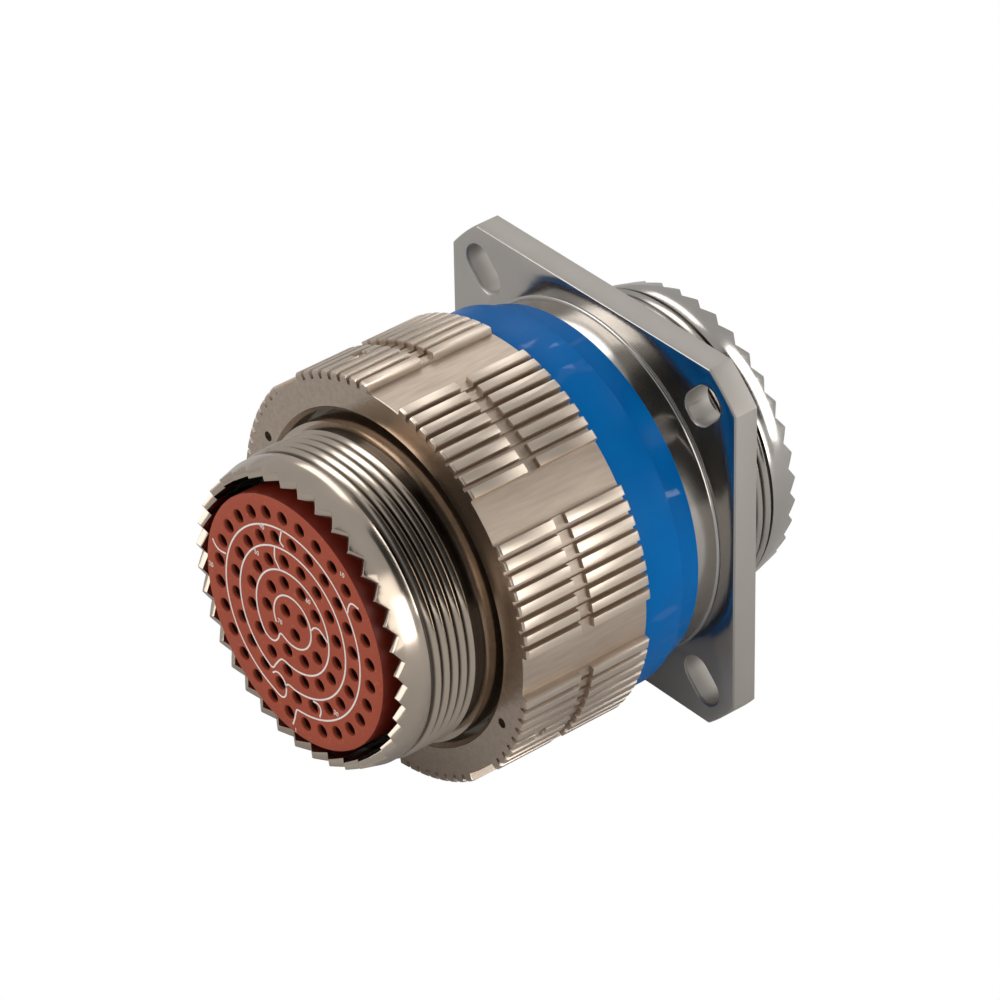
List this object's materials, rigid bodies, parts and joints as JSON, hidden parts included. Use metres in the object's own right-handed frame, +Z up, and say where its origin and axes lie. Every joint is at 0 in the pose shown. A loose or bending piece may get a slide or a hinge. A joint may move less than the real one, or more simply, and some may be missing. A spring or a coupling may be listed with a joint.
{
  "type": "mated circular connector with square flange receptacle",
  "caption": "Threaded circular connector: a plug with a ribbed coupling nut mated to a square-flange receptacle, with toothed barrel ends and wire grommets for many small contacts.",
  "frame": {"origin": "centre of the slot pattern on the panel face of the flange", "axes": "+Y along the connector axis from the plug towards the back of the receptacle, +Z up, flange sides along X and Z"},
  "size_m": [0.0406, 0.0484, 0.0406],
  "materials": {
    "shell_steel": "polished",
    "nut_steel": "satin, warm tone",
    "blue_paint": "gloss band on the nut",
    "insert_plastic": "hard moulded insert",
    "grommet_rubber": "terracotta silicone",
    "marking_paint": "white guide line",
    "seal_rubber": "silicone seal",
    "washer_plastic": "low-friction washer",
    "spring_metal": "spring strip",
    "contact_plating": "gold plated"
  },
  "bodies": {
    "receptacle": {"receptacle_shell": "shell_steel", "receptacle_insert": "insert_plastic", "receptacle_retention_plate": "insert_plastic", "interface_seal": "seal_rubber", "receptacle_insert_ring": "insert_plastic", "receptacle_grommet": "grommet_rubber", "pin_contacts": "contact_plating"},
    "plug": {"plug_shell": "shell_steel", "plug_insert": "insert_plastic", "plug_retention_plate": "insert_plastic", "plug_insert_ring": "insert_plastic", "plug_grommet": "grommet_rubber", "socket_contacts": "contact_plating", "shell_seal": "seal_rubber", "grounding_band": "spring_metal", "detent_ring": "shell_steel", "thrust_washer": "washer_plastic"},
    "nut": {"coupling_nut": "nut_steel", "nut_snap_ring": "spring_metal", "click_springs": "spring_metal", "click_pins": "spring_metal"}
  },
  "joints": [
    {"name": "plug_slide", "type": "slide", "parent": "receptacle", "child": "plug", "axis": [0, -1, 0], "range_m": [0, 0.00762]},
    {"name": "nut_turn", "type": "hinge", "parent": "plug", "child": "nut", "pos_m": [0, 0, 0], "axis": [0, -1, 0], "range_deg": [0, 360]}
  ],
  "couplings": [
    {"joint": "nut_turn", "follows": "plug_slide", "rad_per_m": 824.56}
  ]
}
